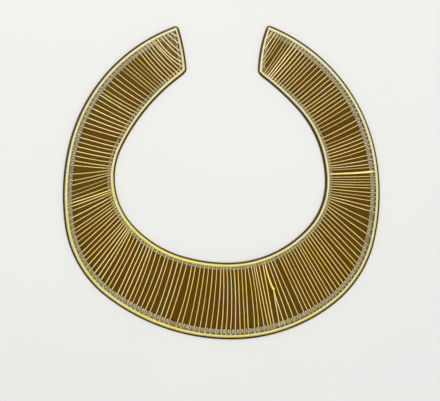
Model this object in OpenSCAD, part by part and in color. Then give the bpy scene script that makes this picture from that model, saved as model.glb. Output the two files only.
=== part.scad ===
// Flat penannular torc: a bronze back plate with an inlaid silver border, gold rim wires, two end
// bars and a field of gold ribs that fan from the outer rim to the neck opening.
// It lies on its back plate. +Y points to the gap between the terminals, +Z is the decorated face.

/* [Collar] */
// Overall width of the collar, over the plate's lip
collar_w = 200; // [180:1:220]
// Thickness of the back plate under the ribs
plate_t = 1.2; // [1:0.1:2]
// Width of the plate's lip outside the rim wires
lip_w = 1.2; // [0.8:0.1:2]
// How far the left end bar bows towards the gap
left_bow = 0.7; // [0.3:0.05:1.4]
// How far the right end bar bows towards the gap
right_bow = 1.15; // [0.3:0.05:1.4]

/* [Wires] */
// Diameter of the rim wires and the end bars
wire_d = 1.8; // [1.4:0.1:2.2]
// Diameter of the thin ribs
rib_d = 0.8; // [0.6:0.05:0.9]
// Diameter of the cross bar at the outer rim
bar_d_outer = 1.8; // [1.4:0.1:2]
// Diameter of the cross bar at the inner rim
bar_d_inner = 1.1; // [0.9:0.1:1.4]
// Diameter of the forked bar where it forks
fork_d = 1.7; // [1.4:0.1:1.8]
// Diameter of the forked bar's thin end
fork_tip_d = 0.8; // [0.6:0.1:1]

/* [Border] */
// Depth of the rebate that holds the border band
rebate_d = 0.4; // [0.3:0.05:0.6]
// Width of the border band inside the outer rim
border_outer = 3.1; // [2:0.1:4]
// Width of the border band inside the inner rim
border_inner = 1.9; // [1.2:0.1:3]
// Width of the border band inside each end bar
border_end = 1.8; // [1.2:0.1:3]

/* [Clearance] */
// Gap between neighbouring pieces
gap = 0.1; // [0.1:0.02:0.2]

/* [Hidden] */
// Degrees between the points of a plate outline
step = 3;
wire_r = wire_d / 2;
rib_r = rib_d / 2;
// The outline below is drawn for a collar 200 mm wide
grow = collar_w / 200;
floor_z = plate_t - rebate_d;
wire_z = floor_z + gap + wire_r;
// The arcs of a rim wire stop this far short of their joints, and a bead a little fatter than the
// wire covers every joint and both ends
joint_trim = 0.1;
bead_r = wire_r * 1.02;

// Rim wires run from the left terminal round the bottom to the right one.
// Each row is one arc, [radius, turn]: it starts where the last one ended, in that direction, and
// turns right where both are below 0.
outer_rows = [
    [104, 58],
    [137, 20],
    [66, 44],
    [127, 38],
    [102.5, 39],
    [68.5, 38],
    [130.5, 23],
    [107.5, 58],
];
inner_rows = [
    [-22, -13],
    [124, 27.1],
    [46, 68],
    [70.5, 31],
    [101.5, 17],
    [70, 47],
    [45, 43],
    [71, 42],
    [153.5, 11],
    [-10, -19.5],
];
outer_start = [-28.7, 96.63];
outer_heading = 200;
inner_start = [-23.9, 71.35];
inner_heading = 229.9;
// The point that all bearings are taken from, in degrees from +X, counter-clockwise
fan_centre = [0.8, 1.33];

// Ribs in fans. A row is [ribs, first and last bearing on the outer rim, first and last bearing on
// the inner rim].
left_fans = [
    [6, 117.1, 123.3, 110.9, 119.8],
    [6, 125.3, 132.6, 121.2, 128.9],
    [5, 134.6, 142.6, 131.2, 139.9],
    [1, 144.1, 144.1, 141.7, 141.7],
    [8, 145.2, 159.2, 143.7, 157.2],
    [7, 161.4, 172.4, 160.5, 172.9],
    [2, 174.2, 177.9, 173.9, 174.8],
    [2, 180.6, 182.4, 175.8, 176.9],
    [2, 184.9, 186.5, 178.6, 180.2],
    [2, 187.9, 188.9, 182.7, 184.7],
    [2, 190.2, 191.9, 185.7, 186.7],
    [3, 194.4, 198.8, 188.1, 191.0],
    [4, 200.2, 205.5, 192.3, 196.4],
    [3, 207.7, 210.9, 198.1, 202.0],
    [3, 212.8, 216.6, 203.1, 205.9],
    [2, 218.4, 220.1, 207.0, 208.0],
    [3, 222.3, 225.4, 209.6, 213.9],
    [3, 227.9, 230.9, 216.0, 220.4],
    [2, 232.8, 234.4, 222.3, 224.1],
    [3, 236.2, 239.7, 226.9, 233.0],
    [1, 241.6, 241.6, 234.9, 234.9],
    [4, 244.1, 249.5, 238.1, 246.9],
    [2, 252.6, 254.4, 250.4, 252.7],
    [6, 257.2, 267.6, 255.8, 269.4],
];
right_fans = [
    [6, 269.7, 278.3, 271.2, 282.6],
    [1, 279.6, 279.6, 285.0, 285.0],
    [2, 282.2, 283.7, 287.1, 289.3],
    [2, 285.7, 287.2, 290.5, 291.7],
    [2, 288.3, 289.3, 293.8, 296.4],
    [3, 295.1, 299.2, 299.5, 303.4],
    [8, 301.5, 311.6, 306.7, 320.1],
    [8, 312.8, 324.0, 321.4, 333.8],
    [2, 326.5, 327.8, 335.6, 337.6],
    [4, 329.8, 335.9, 339.8, 345.7],
    [3, 339.1, 344.5, 347.0, 349.6],
    [2, 348.1, 349.9, 350.6, 351.7],
    [3, 352.2, 355.3, 352.8, 355.5],
    [5, 357.1, 361.6, 356.9, 361.7],
    [2, 365.0, 366.3, 365.5, 366.5],
    [2, 368.0, 370.0, 367.5, 368.8],
    [6, 372.3, 380.1, 370.2, 378.6],
    [2, 382.4, 384.3, 380.6, 382.8],
    [2, 386.8, 388.3, 385.9, 388.1],
    [2, 390.5, 392.4, 390.0, 391.8],
    [4, 393.9, 398.3, 393.8, 399.6],
    [7, 399.8, 409.8, 401.1, 412.6],
    [7, 411.5, 420.2, 414.6, 424.4],
    [4, 421.6, 425.4, 425.5, 428.8],
];
// Ribs that stop at an end bar. A row is [ribs, first and last bearing on the outer rim, first and
// last place on the end bar, as a share of its length down from the tip].
left_end_fans = [
    [3, 109.7, 112.2, 0.19, 0.57],
    [3, 113.5, 116.3, 0.72, 0.96],
];
right_end_fans = [
    [3, 426.8, 429.0, 0.98, 0.75],
    [2, 430.1, 431.3, 0.54, 0.30],
];
// Bearings on the outer rim and the inner rim of the two heavy bars
cross_bar_bearings = [363.4, 363.5];
fork_inner_bearing = 297.9;
fork_tail_bearings = [291.3, 293.2];
// Where the forked bar forks, as a share of the way from the inner rim to the last tail's end
fork_share = 0.425;
// The shoulder ball is this much fatter than the bar, and its two ribs lie this much higher
shoulder_swell = 1.07;
tail_lift = 0.05;

// An arc is [centre, radius, heading at its start, turn]
function arc_point(a, t) = a[0] + a[1] * [sin(a[2] + t), -cos(a[2] + t)];
function arc_end(a) = arc_point(a, a[3]);
function chain(rows, start, heading, i = 0) =
    i == len(rows) ? [] :
    let (
        radius = rows[i][0] * grow,
        arc = [start + radius * [-sin(heading), cos(heading)], radius, heading, rows[i][1]]
    )
    concat([arc], chain(rows, arc_end(arc), heading + rows[i][1], i + 1));
function arc_between(p, q, bow) =
    let (
        chord = norm(q - p),
        radius = (chord * chord / 4 + bow * bow) / (2 * bow),
        half = asin(chord / (2 * radius)),
        heading = atan2(q[1] - p[1], q[0] - p[0]) - half
    )
    [p + radius * [-sin(heading), cos(heading)], radius, heading, 2 * half];

outer = chain(outer_rows, outer_start * grow, outer_heading);
inner = chain(inner_rows, inner_start * grow, inner_heading);
outer_end = arc_end(outer[len(outer) - 1]);
inner_end = arc_end(inner[len(inner) - 1]);
// Both end bars bow towards the gap. The left one runs up to its tip and the right one down.
left_end = arc_between(inner_start * grow, outer_start * grow, left_bow);
right_end = arc_between(outer_end, inner_end, right_bow);

// A chain's arcs moved to their right by a distance
function moved(arcs, away) = [for (a = arcs) [a[0], a[1] + away, a[2], a[3]]];
function arc_points(a) =
    let (n = ceil(abs(a[3]) / step))
    [for (i = [0:n - 1]) arc_point(a, a[3] * i / n)];
function chain_points(arcs) =
    concat([for (a = arcs) each arc_points(a)], [arc_end(arcs[len(arcs) - 1])]);
function along(heading) = [cos(heading), sin(heading)];

// The place where a ray from the fan centre meets a rim, with the rim's normal there
function on_arc(a, ray) =
    let (
        w = a[0] - fan_centre * grow,
        m = w * ray,
        side = sign(a[1]),
        p = fan_centre * grow + ray * (m + side * sqrt(m * m - w * w + a[1] * a[1])),
        n = (p - a[0]) / a[1],
        turned = side * (atan2(n[1], n[0]) + 90 - a[2]),
        t = turned - 360 * floor((turned + 1) / 360)
    )
    t <= abs(a[3]) + 0.001 ? [p, n] : [];
function on_rim(arcs, bearing) =
    [for (a = arcs) let (hit = on_arc(a, along(bearing))) if (len(hit) > 0) hit][0];
function on_end_bar(a, share) =
    let (p = arc_point(a, a[3] * share))
    [p, (p - a[0]) / a[1]];
function mix(from, to, share) = from + (to - from) * share;
function share_of(i, count) = count < 2 ? 0 : i / (count - 1);

// How far short of a wire's centre line a rod of radius r stops, when it meets the wire slanting
function setback(normal, dir, r) =
    let (c = abs(normal * dir))
    (bead_r + gap + r * sqrt(1 - c * c)) / c;

// Where such a rod stops, coming away from the wire in a direction
function stop_at(hit, dir, r) = hit[0] + dir * setback(hit[1], dir, r);
function direction(from, to) = (to - from) / norm(to - from);

// Where a rod of radius r stops, coming away in a direction from an end bar. The bar bows away from
// the ribs, so that both corners of the rod's end are held clear of its circle.
function stop_inside(bar, hit, dir, r) =
    let (
        limit = bar[1] - bead_r - gap,
        from_centre = hit[0] - bar[0],
        m = from_centre * dir,
        backs = [for (side = [-r, r])
            let (w = from_centre + side * [-dir[1], dir[0]])
            -m - sqrt(m * m - w * w + limit * limit)]
    )
    hit[0] + dir * max(backs);

// Area inside a chain of arcs, closed straight across between its ends
module inside(arcs) polygon(chain_points(arcs));

// Area of the gap between the terminals, wider than the end bars by a distance on each side
module terminal_gap(wider) {
    // The straight runs past both ends of a terminal, long enough to cut the whole lip
    reach = 12;
    left = moved([left_end], -wider)[0];
    right = moved([right_end], -wider)[0];
    polygon(concat(
        [arc_point(left, 0) - reach * along(left[2])],
        chain_points([left]),
        [arc_end(left) + reach * along(left[2] + left[3])],
        [arc_point(right, 0) - reach * along(right[2])],
        chain_points([right]),
        [arc_end(right) + reach * along(right[2] + right[3])]
    ));
}

// The collar's outline, drawn in from the centre lines of the wires by these distances
module collar(from_outer, from_inner, from_end) {
    difference() {
        inside(moved(outer, -from_outer));
        inside(moved(inner, from_inner));
        terminal_gap(from_end);
    }
}

// Outline of the ribbed field inside the border band, grown by a distance
module field(grown) {
    collar(wire_r + gap + border_outer - grown, wire_r + gap + border_inner - grown,
        wire_r + gap + border_end - grown);
}

// A round rod that lies on the plate, along the line between two points, with its own end radii
module rod(from, to, r_from, r_to, lift = 0) {
    line = to - from;
    lean = asin((r_from - r_to) / norm(line));
    translate([from[0], from[1], plate_t + gap + lift + r_from])
        rotate([0, 0, atan2(line[1], line[0])])
            rotate([0, 90 + lean, 0])
                cylinder(r1 = r_from, r2 = r_to, h = norm(line), $fn = 24);
}

// A rod that spans from the outer rim to the inner rim or an end bar, clear of both wires
module span(from, to, r_from, r_to) {
    dir = direction(from[0], to[0]);
    rod(stop_at(from, dir, r_from), stop_at(to, -dir, r_to), r_from, r_to);
}

module fan(row) {
    for (i = [0:row[0] - 1]) {
        share = share_of(i, row[0]);
        span(on_rim(outer, mix(row[1], row[2], share)), on_rim(inner, mix(row[3], row[4], share)),
            rib_r, rib_r);
    }
}

module end_fan(row, bar, down) {
    for (i = [0:row[0] - 1]) {
        share = share_of(i, row[0]);
        place = mix(row[3], row[4], share);
        from = on_rim(outer, mix(row[1], row[2], share));
        to = on_end_bar(bar, down ? place : 1 - place);
        dir = direction(from[0], to[0]);
        rod(stop_at(from, dir, rib_r), stop_inside(bar, to, -dir, rib_r), rib_r, rib_r);
    }
}

// An arc cut short by a length at its start and by another at its end
function trimmed(a, first, last) =
    let (per_mm = 180 / PI / a[1])
    [a[0], a[1], a[2] + first * per_mm, a[3] - (first + last) * per_mm];

module arc_wire(a) {
    translate([a[0][0], a[0][1], wire_z])
        rotate([0, 0, a[1] > 0 ? a[2] - 90 : a[2] + a[3] + 90])
            rotate_extrude(angle = abs(a[3]), $fn = 144)
                translate([abs(a[1]), 0])
                    circle(r = wire_r, $fn = 24);
}

// A ball on the wire, with its poles along the wire
module bead(p, heading) {
    translate([p[0], p[1], wire_z])
        rotate([0, 90, heading])
            sphere(r = bead_r, $fn = 24);
}

// Round wire along a chain of arcs
module wire(arcs) {
    for (a = arcs) {
        arc_wire(trimmed(a, joint_trim, joint_trim));
        bead(arc_point(a, 0), a[2]);
    }
    final = arcs[len(arcs) - 1];
    bead(arc_end(final), final[2] + final[3]);
}

// How far from a corner an end bar starts, when a rim wire leaves the same corner in a direction
function corner_setback(bar_dir, rim_dir) =
    let (lean = max(0, bar_dir * rim_dir))
    (bead_r + gap + wire_r * lean) / sqrt(1 - lean * lean);

// An end bar is its arc, cut short so that it clears both rim wires
module end_bar(a, first_rim_dir, last_rim_dir) {
    arc_wire(trimmed(a, corner_setback(along(a[2]), first_rim_dir),
        corner_setback(-along(a[2] + a[3]), last_rim_dir)));
}

module back_plate() {
    color([0.30, 0.20, 0.06]) {
        linear_extrude(floor_z)
            collar(-wire_r - lip_w, -wire_r - lip_w, -wire_r - lip_w);
        translate([0, 0, floor_z])
            linear_extrude(rebate_d)
                field(0);
    }
}

module border_band() {
    color([0.63, 0.61, 0.55])
        translate([0, 0, floor_z + gap])
            linear_extrude(rebate_d - gap)
                difference() {
                    collar(wire_r + gap, wire_r + gap, wire_r + gap);
                    field(gap);
                }
}

module outer_rim() {
    color([0.94, 0.91, 0.56])
        wire(outer);
}

module inner_rim() {
    color([0.94, 0.91, 0.56])
        wire(inner);
}

module left_end_bar() {
    color([0.94, 0.91, 0.56])
        end_bar(left_end, along(inner_heading), along(outer_heading));
}

module right_end_bar() {
    outer_last = outer[len(outer) - 1];
    inner_last = inner[len(inner) - 1];
    color([0.94, 0.91, 0.56])
        end_bar(right_end, -along(outer_last[2] + outer_last[3]),
            -along(inner_last[2] + inner_last[3]));
}

module left_ribs() {
    color([0.86, 0.74, 0.42]) {
        for (row = left_fans)
            fan(row);
        for (row = left_end_fans)
            end_fan(row, left_end, false);
    }
}

module right_ribs() {
    color([0.86, 0.74, 0.42]) {
        for (row = right_fans)
            fan(row);
        for (row = right_end_fans)
            end_fan(row, right_end, true);
    }
}

module cross_bar() {
    color([0.94, 0.89, 0.55])
        span(on_rim(outer, cross_bar_bearings[0]), on_rim(inner, cross_bar_bearings[1]),
            bar_d_outer / 2, bar_d_inner / 2);
}

// Swells from the inner rim to a round shoulder, where two ribs leave it for the outer rim
module forked_bar() {
    tip = on_rim(inner, fork_inner_bearing);
    tails = [for (b = fork_tail_bearings) on_rim(outer, b)];
    shoulder = mix(tip[0], tails[1][0], fork_share);
    dir = direction(tip[0], shoulder);
    root = shoulder - dir * fork_d / 2;
    shoulder_r = fork_d / 2 * shoulder_swell;
    color([0.94, 0.89, 0.55]) {
        rod(shoulder, stop_at(tip, dir, fork_tip_d / 2), fork_d / 2, fork_tip_d / 2);
        translate([shoulder[0], shoulder[1], plate_t + gap + shoulder_r])
            sphere(r = shoulder_r, $fn = 32);
        for (tail = tails)
            rod(root, stop_at(tail, -direction(root, tail[0]), rib_r), rib_r, rib_r, tail_lift);
    }
}

back_plate();
border_band();
outer_rim();
inner_rim();
left_end_bar();
right_end_bar();
left_ribs();
right_ribs();
cross_bar();
forked_bar();
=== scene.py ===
# A flat open torc of gold wire on a dark bronze plate, lying on a pale floor and seen from above.
import math
import bpy
import bmesh
import numpy as np
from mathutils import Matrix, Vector, noise


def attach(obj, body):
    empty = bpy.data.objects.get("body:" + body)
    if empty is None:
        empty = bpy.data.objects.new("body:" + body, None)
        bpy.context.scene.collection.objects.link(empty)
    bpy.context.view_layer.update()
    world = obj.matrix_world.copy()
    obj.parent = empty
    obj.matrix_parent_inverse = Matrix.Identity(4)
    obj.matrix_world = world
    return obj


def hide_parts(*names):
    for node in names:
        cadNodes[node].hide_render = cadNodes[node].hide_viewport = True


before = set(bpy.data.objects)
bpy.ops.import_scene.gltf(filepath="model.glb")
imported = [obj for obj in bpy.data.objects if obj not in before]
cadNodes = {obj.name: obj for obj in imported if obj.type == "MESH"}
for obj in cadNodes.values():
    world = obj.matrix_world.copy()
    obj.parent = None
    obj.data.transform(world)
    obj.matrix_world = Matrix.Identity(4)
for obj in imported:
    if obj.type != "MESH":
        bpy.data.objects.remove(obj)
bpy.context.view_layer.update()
mm = 0.001

# Camera and light
stageLook = {
    "middle": (-0.78, -11.25),   # mm on the collar at the middle of the picture
    "pictureWidth": 277.2,       # mm across the picture at the height of the wires
    "wireHeight": 1.5,           # mm
    "cameraHeight": 1.3,         # m
    "sensor": 36,                # mm
    "clip": (0.01, 20),          # m
    "sky": (0.93, 0.96, 1.0),
    "skyStrength": 0.62,
    # each lamp's place and size in m, its watts and its colour
    "keyLight": ((-0.22, 0.55, 1.15), 0.7, 8.3, (1.0, 0.98, 0.94)),
    "fillLight": ((0.7, -0.5, 0.9), 0.9, 2.6, (0.94, 0.97, 1.0)),
}


def newObject(name, data):
    thing = bpy.data.objects.new(name, data)
    bpy.context.scene.collection.objects.link(thing)
    return thing


def lookDown():
    bpy.context.scene.view_settings.view_transform = "Standard"
    camera = newObject("Camera", bpy.data.cameras.new("Camera"))
    x, y = stageLook["middle"]
    height, sensor = stageLook["cameraHeight"], stageLook["sensor"]
    camera.location = (x * mm, y * mm, height)
    camera.data.sensor_width = sensor
    camera.data.lens = sensor * (height - stageLook["wireHeight"] * mm) / (stageLook["pictureWidth"] * mm)
    camera.data.clip_start, camera.data.clip_end = stageLook["clip"]
    bpy.context.scene.camera = camera


def softLight(name):
    place, size, watts, colour = stageLook[name]
    lamp = bpy.data.lights.new(name, "AREA")
    lamp.shape, lamp.size, lamp.energy, lamp.color = "DISK", size, watts, colour
    holder = newObject(name, lamp)
    holder.location = place
    holder.rotation_euler = (-Vector(place)).to_track_quat("-Z", "Y").to_euler()


# Small helpers for node trees and meshes
def feed(tree, node, inputs):  # each input gets a value, or a link where it is given an output
    for key, value in inputs.items():
        if isinstance(value, bpy.types.NodeSocket):
            tree.links.new(value, node.inputs[key])
        else:
            node.inputs[key].default_value = value


def addNode(tree, kind, inputs=None, **settings):
    node = tree.nodes.new(kind)
    for key, value in settings.items():
        setattr(node, key, value)
    feed(tree, node, inputs or {})
    return node


def nodeOut(tree, kind, inputs=None, **settings):  # the first output of a new node
    return addNode(tree, kind, inputs, **settings).outputs[0]


def maths(tree, operation, a, b=0.0, c=0.0):
    return nodeOut(tree, "ShaderNodeMath", {0: a, 1: b, 2: c}, operation=operation)


def times(tree, a, b):
    return maths(tree, "MULTIPLY", a, b)


def scaled(tree, vector, amount):
    return nodeOut(tree, "ShaderNodeVectorMath", {0: vector, "Scale": amount}, operation="SCALE")


def between(tree, value, low, high, fromValue=0.0, toValue=1.0):  # eases from one value to another
    return nodeOut(tree, "ShaderNodeMapRange", {0: value, 1: low, 2: high, 3: fromValue, 4: toValue},
                   interpolation_type="SMOOTHSTEP")


def swing(tree, vector, scale, seed):  # noise from -1 to 1
    waves = addNode(tree, "ShaderNodeTexNoise",
                    {"Vector": vector, "W": seed, "Scale": scale, "Detail": 2.0}, noise_dimensions="4D")
    return maths(tree, "MULTIPLY_ADD", waves.outputs[0], 2.0, -1.0)


def newPiece(name, verts, faces, edges=()):
    mesh = bpy.data.meshes.new(name)
    mesh.from_pydata([tuple(v) for v in verts], list(edges), list(faces))
    return newObject(name, mesh)


def storeValue(mesh, name, values):
    layer = mesh.attributes.get(name) or mesh.attributes.new(name, "FLOAT", "POINT")
    layer.data.foreach_set("value", np.asarray(values, np.float32))


def turnOut(mesh, weld=0.0):  # turns faces outwards, after merging and smoothing where there is a weld
    body = bmesh.new()
    body.from_mesh(mesh)
    if weld:
        bmesh.ops.remove_doubles(body, verts=body.verts, dist=weld)
        bmesh.ops.dissolve_degenerate(body, edges=body.edges, dist=weld / 2)
        for face in body.faces:
            face.smooth = True
    bmesh.ops.recalc_face_normals(body, faces=body.faces)
    body.to_mesh(mesh)
    body.free()


def settle(piece, slot, *stoodFor):  # a finished piece gets its body, and the nodes it stands for are hidden; slot is not used
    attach(piece, "root")
    if stoodFor:
        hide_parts(*stoodFor)
    return piece


# Finishes. Colours are linear, and the sizes of patches and grain are in mm
def newFinish(name, look):
    material = bpy.data.materials.new(name)
    material.use_nodes = True
    tree = material.node_tree
    shader = tree.nodes["Principled BSDF"]
    feed(tree, shader, {"Metallic": look["metallic"], "Specular IOR Level": look["specular"]})
    place = addNode(tree, "ShaderNodeTexCoord").outputs["Object"]
    return material, tree, shader, place


def cloud(tree, place, size, detail=3.0, rough=0.5):
    shape = {"Vector": place, "Scale": 1 / (size * mm), "Detail": detail, "Roughness": rough}
    return nodeOut(tree, "ShaderNodeTexNoise", shape)


def patches(tree, place, size, low, high, *fineness):  # a cloud that comes in between two of its values
    return between(tree, cloud(tree, place, size, *fineness), low, high)


def named(tree, name):  # what a piece's mesh says of itself
    return addNode(tree, "ShaderNodeAttribute", attribute_name=name).outputs["Fac"]


def tint(tree, share, *colours):  # mixes two colours, which are outputs or values
    a, b = (c if isinstance(c, bpy.types.NodeSocket) else (*c, 1) for c in colours)
    return addNode(tree, "ShaderNodeMix", {0: share, 6: a, 7: b}, data_type="RGBA").outputs[2]


coatLook = {"fineness": (5.0, 0.6), "reliefShare": 0.6, "glossRange": (0.3, 0.7)}


def coat(tree, shader, place, colour, look):  # the colour, with fine relief and uneven gloss from one cloud
    grain = cloud(tree, place, look["grainSize"], *coatLook["fineness"])
    relief = {"Height": grain, "Strength": coatLook["reliefShare"], "Distance": look["grainDepth"] * mm}
    gloss = between(tree, grain, *coatLook["glossRange"], *look["roughness"])
    feed(tree, shader, {"Base Color": colour, "Normal": nodeOut(tree, "ShaderNodeBump", relief),
                        "Roughness": gloss})


goldLook = {
    "bright": (1.0, 0.80, 0.14),
    "silvered": (0.48, 0.42, 0.25),
    # a dark worn gold, used both for wear and as painted shade over bright highlights
    "worn": (0.40, 0.27, 0.085),
    "cream": (1.0, 0.96, 0.66),
    "mottle": (9.0, 0.35, 0.65), "mottleShare": 0.45, "frostShare": 0.75,
    "metallic": 0.8, "specular": 0.12,
    "grainSize": 0.9, "grainDepth": 0.03, "roughness": (0.46, 0.62),
}
# Grime and painted shade lie on a wire's flanks, darkest at the bottom, and reach up to where they face this
# far upwards
rimColours = {"pale": (0.785, 0.74, 0.46), "deep": (0.785, 0.675, 0.13), "grimeAndShade": (0.38, 0.26, 0.03),
              "grimeAndShadeShare": 0.3, "grimeAndShadeUpTo": 0.5}
ribColours = {"pale": (0.97, 0.80, 0.42), "deep": (0.88, 0.585, 0.115), "grimeAndShade": (0.22, 0.115, 0.006),
              "grimeAndShadeShare": 0.6, "grimeAndShadeUpTo": 0.85}


def goldFinish(name, colours):
    look = goldLook
    material, tree, shader, place = newFinish(name, look)
    mottle = maths(tree, "MULTIPLY_ADD", patches(tree, place, *look["mottle"]), look["mottleShare"],
                   named(tree, "tone"))
    colour = tint(tree, mottle, colours["deep"], colours["pale"])
    colour = tint(tree, named(tree, "bright"), colour, look["bright"])
    wear = named(tree, "wear")
    # wear and painted shade darken the gold towards the worn colour; below 0 it turns creamy
    colour = tint(tree, wear, colour, look["worn"])
    colour = tint(tree, times(tree, wear, -1.0), colour, look["cream"])
    frost = times(tree, named(tree, "frost"), look["frostShare"])
    colour = tint(tree, frost, colour, look["silvered"])
    # painted shade and grime: the flanks grow darker the less they face upwards
    shadedFlank = between(tree, named(tree, "crown"), 0.0, colours["grimeAndShadeUpTo"], colours["grimeAndShadeShare"], 0.0)
    coat(tree, shader, place, tint(tree, shadedFlank, colour, colours["grimeAndShade"]), look)
    return material


bronzeLook = {
    "brown": (0.112, 0.050, 0.0010),
    "olive": (0.104, 0.062, 0.0015), "olivePatches": (34.0, 0.46, 0.66),
    "red": (0.122, 0.044, 0.002), "redPatches": (30.0, 0.52, 0.70), "redShift": 1.37,
    # the lip's dark colour is patina on the lip and also painted shade on the rebate's walls, the field's
    # edge and the underside
    "lip": (0.080, 0.044, 0.006), "specks": (1.6, 5.0, 0.65),     # it also lies in specks all over
    "speckRange": (0.3, 0.72), "speckShare": 0.55,
    "wash": (0.34, 0.28, 0.08), "washPatches": (3.0, 0.2, 0.7),     # gold left on the ground at the left tip
    "metallic": 0.6, "specular": 0.06,
    "grainSize": 0.7, "grainDepth": 0.05, "roughness": (0.42, 0.66),
}


def bronzeFinish():
    look = bronzeLook
    material, tree, shader, place = newFinish("patinatedBronze", look)
    colour = tint(tree, patches(tree, place, *look["olivePatches"]), look["brown"], look["olive"])
    elsewhere = scaled(tree, place, look["redShift"])
    colour = tint(tree, patches(tree, elsewhere, *look["redPatches"]), colour, look["red"])
    washed = times(tree, patches(tree, place, *look["washPatches"]), named(tree, "wash"))
    colour = tint(tree, washed, colour, look["wash"])
    speck = between(tree, cloud(tree, place, *look["specks"]), *look["speckRange"], look["speckShare"], 0.0)
    # specks of patina, and the lip value: the dark lip and painted shade in the rebate, at the field's edge
    # and underneath
    colour = tint(tree, maths(tree, "MAXIMUM", speck, named(tree, "lip")), colour, look["lip"])
    coat(tree, shader, place, colour, look)
    return material


silverLook = {
    "band": (0.29, 0.25, 0.145),
    # a dark colour for dirt in the band's mottle, also laid on the flanks as painted shade
    "dirtAndShade": (0.19, 0.155, 0.07), "dirtAndShadeShare": 0.6, "dirtAndShadeRange": (0.4, 0.95),
    "cell": (0.33, 0.29, 0.175),
    "worn": (0.47, 0.42, 0.28),
    "faded": (0.15, 0.11, 0.035),
    "mottle": (1.3, 0.34, 0.66, 4.0, 0.6),
    "metallic": 0.35, "specular": 0.25,
    "grainSize": 0.8, "grainDepth": 0.04, "roughness": (0.38, 0.6),
}


def silverFinish(name, dull, bright):
    look = silverLook
    material, tree, shader, place = newFinish(name, look)
    colour = tint(tree, patches(tree, place, *look["mottle"]), look[dull], look[bright])
    # dirt and painted shade: the flanks grow darker the less they face upwards
    shadedFlank = between(tree, named(tree, "crown"), *look["dirtAndShadeRange"], look["dirtAndShadeShare"], 0.0)
    colour = tint(tree, shadedFlank, colour, look["dirtAndShade"])
    coat(tree, shader, place, tint(tree, named(tree, "fade"), colour, look["faded"]), look)
    return material


rimGold = goldFinish("rimGold", rimColours)
ribGold = goldFinish("ribGold", ribColours)
plateBronze = bronzeFinish()
bandSilver = silverFinish("bandSilver", "dirtAndShade", "band")
cellSilver = silverFinish("cellSilver", "cell", "worn")
print("finishes ready")

# The collar's outline. Each row is one arc, radius in mm and turn in degrees, from the left terminal
# round the bottom to the right one. It turns right where both are below 0
collarLines = {
    "outer": {"start": (-28.7, 96.63), "heading": 200, "rows": [
        (104, 58), (137, 20), (66, 44), (127, 38), (102.5, 39), (68.5, 38), (130.5, 23), (107.5, 58)]},
    "inner": {"start": (-23.9, 71.35), "heading": 229.9, "rows": [
        (-22, -13), (124, 27.1), (46, 68), (70.5, 31), (101.5, 17), (70, 47), (45, 43), (71, 42),
        (153.5, 11), (-10, -19.5)]},
    "leftBow": 0.7, "rightBow": 1.15,       # mm that the end bars bulge into the gap
    "fanCentre": (0.8, 1.33),
}


def turned(angle):
    return np.array([math.cos(math.radians(angle)), math.sin(math.radians(angle))])


def arcPoint(arc, turn):  # an arc is (centre, radius, heading, turn)
    return arc[0] + arc[1] * turned(arc[2] + turn - 90)


def chainOf(line):
    place, heading, arcs = np.array(line["start"]), line["heading"], []
    for radius, turn in line["rows"]:
        arcs.append((place + radius * turned(heading + 90), radius, heading, turn))
        place, heading = arcPoint(arcs[-1], turn), heading + turn
    return arcs


def bowBetween(start, end, bow):
    chord = np.linalg.norm(end - start)
    radius = (chord ** 2 / 4 + bow ** 2) / (2 * bow)
    half = math.degrees(math.asin(chord / 2 / radius))
    heading = math.degrees(math.atan2(*(end - start)[::-1])) - half
    return [(start + radius * turned(heading + 90), radius, heading, 2 * half)]


fanCentre = np.array(collarLines["fanCentre"])
outerArcs, innerArcs = chainOf(collarLines["outer"]), chainOf(collarLines["inner"])
leftTip, rightTip = arcPoint(outerArcs[0], 0), arcPoint(outerArcs[-1], outerArcs[-1][3])
leftFoot, rightFoot = arcPoint(innerArcs[0], 0), arcPoint(innerArcs[-1], innerArcs[-1][3])
leftArcs = bowBetween(leftFoot, leftTip, collarLines["leftBow"])
rightArcs = bowBetween(rightTip, rightFoot, collarLines["rightBow"])
wireArcs = (outerArcs, innerArcs, leftArcs, rightArcs)


def trace(arcs, away=0.0, pitch=0.25):  # points along arcs that are moved to their right
    points = []
    for centre, radius, heading, turn in arcs:
        count = max(2, math.ceil(math.radians(turn) * radius / pitch))
        points += [arcPoint((centre, radius + away, heading, turn), turn * i / count) for i in range(count)]
    return np.array(points + [arcPoint((centre, radius + away, heading, turn), turn)])


def stretch(path, reach=8.0):  # runs a path straight on past both ends
    first, last = path[0] - path[1], path[-1] - path[-2]
    return np.vstack([path[0] + first / np.linalg.norm(first) * reach, path,
                      path[-1] + last / np.linalg.norm(last) * reach])


def crossing(pathA, pathB):  # where two paths cross, as places along each
    p, r = pathA[:-1, None], np.diff(pathA, axis=0)[:, None]
    q, s = pathB[None, :-1], np.diff(pathB, axis=0)[None]
    across = r[..., 0] * s[..., 1] - r[..., 1] * s[..., 0]
    across[across == 0] = 1e-12      # pieces that run side by side
    t = ((q - p)[..., 0] * s[..., 1] - (q - p)[..., 1] * s[..., 0]) / across
    u = ((q - p)[..., 0] * r[..., 1] - (q - p)[..., 1] * r[..., 0]) / across
    i, j = np.argwhere((t >= 0) & (t <= 1) & (u >= 0) & (u <= 1))[0]
    return i + t[i, j], j + u[i, j]


def evenly(path, start, end, count):  # count steps of equal length between two places along a path
    lengths = np.r_[0, np.cumsum(np.linalg.norm(np.diff(path, axis=0), axis=1))]
    index = np.arange(len(path))
    wanted = np.linspace(*np.interp([start, end], index, lengths), count + 1)
    return np.c_[np.interp(wanted, lengths, path[:, 0]), np.interp(wanted, lengths, path[:, 1])]


gridLook = {
    "along": 520, "across": 30, "corner": 6,   # steps along the collar, across it and round a corner
    "cornerReach": 0.95,                       # how round a corner is, 1 being an arc about the corner
    "bowFades": 12,                            # how soon the bow of an end is lost along the collar
}


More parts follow.
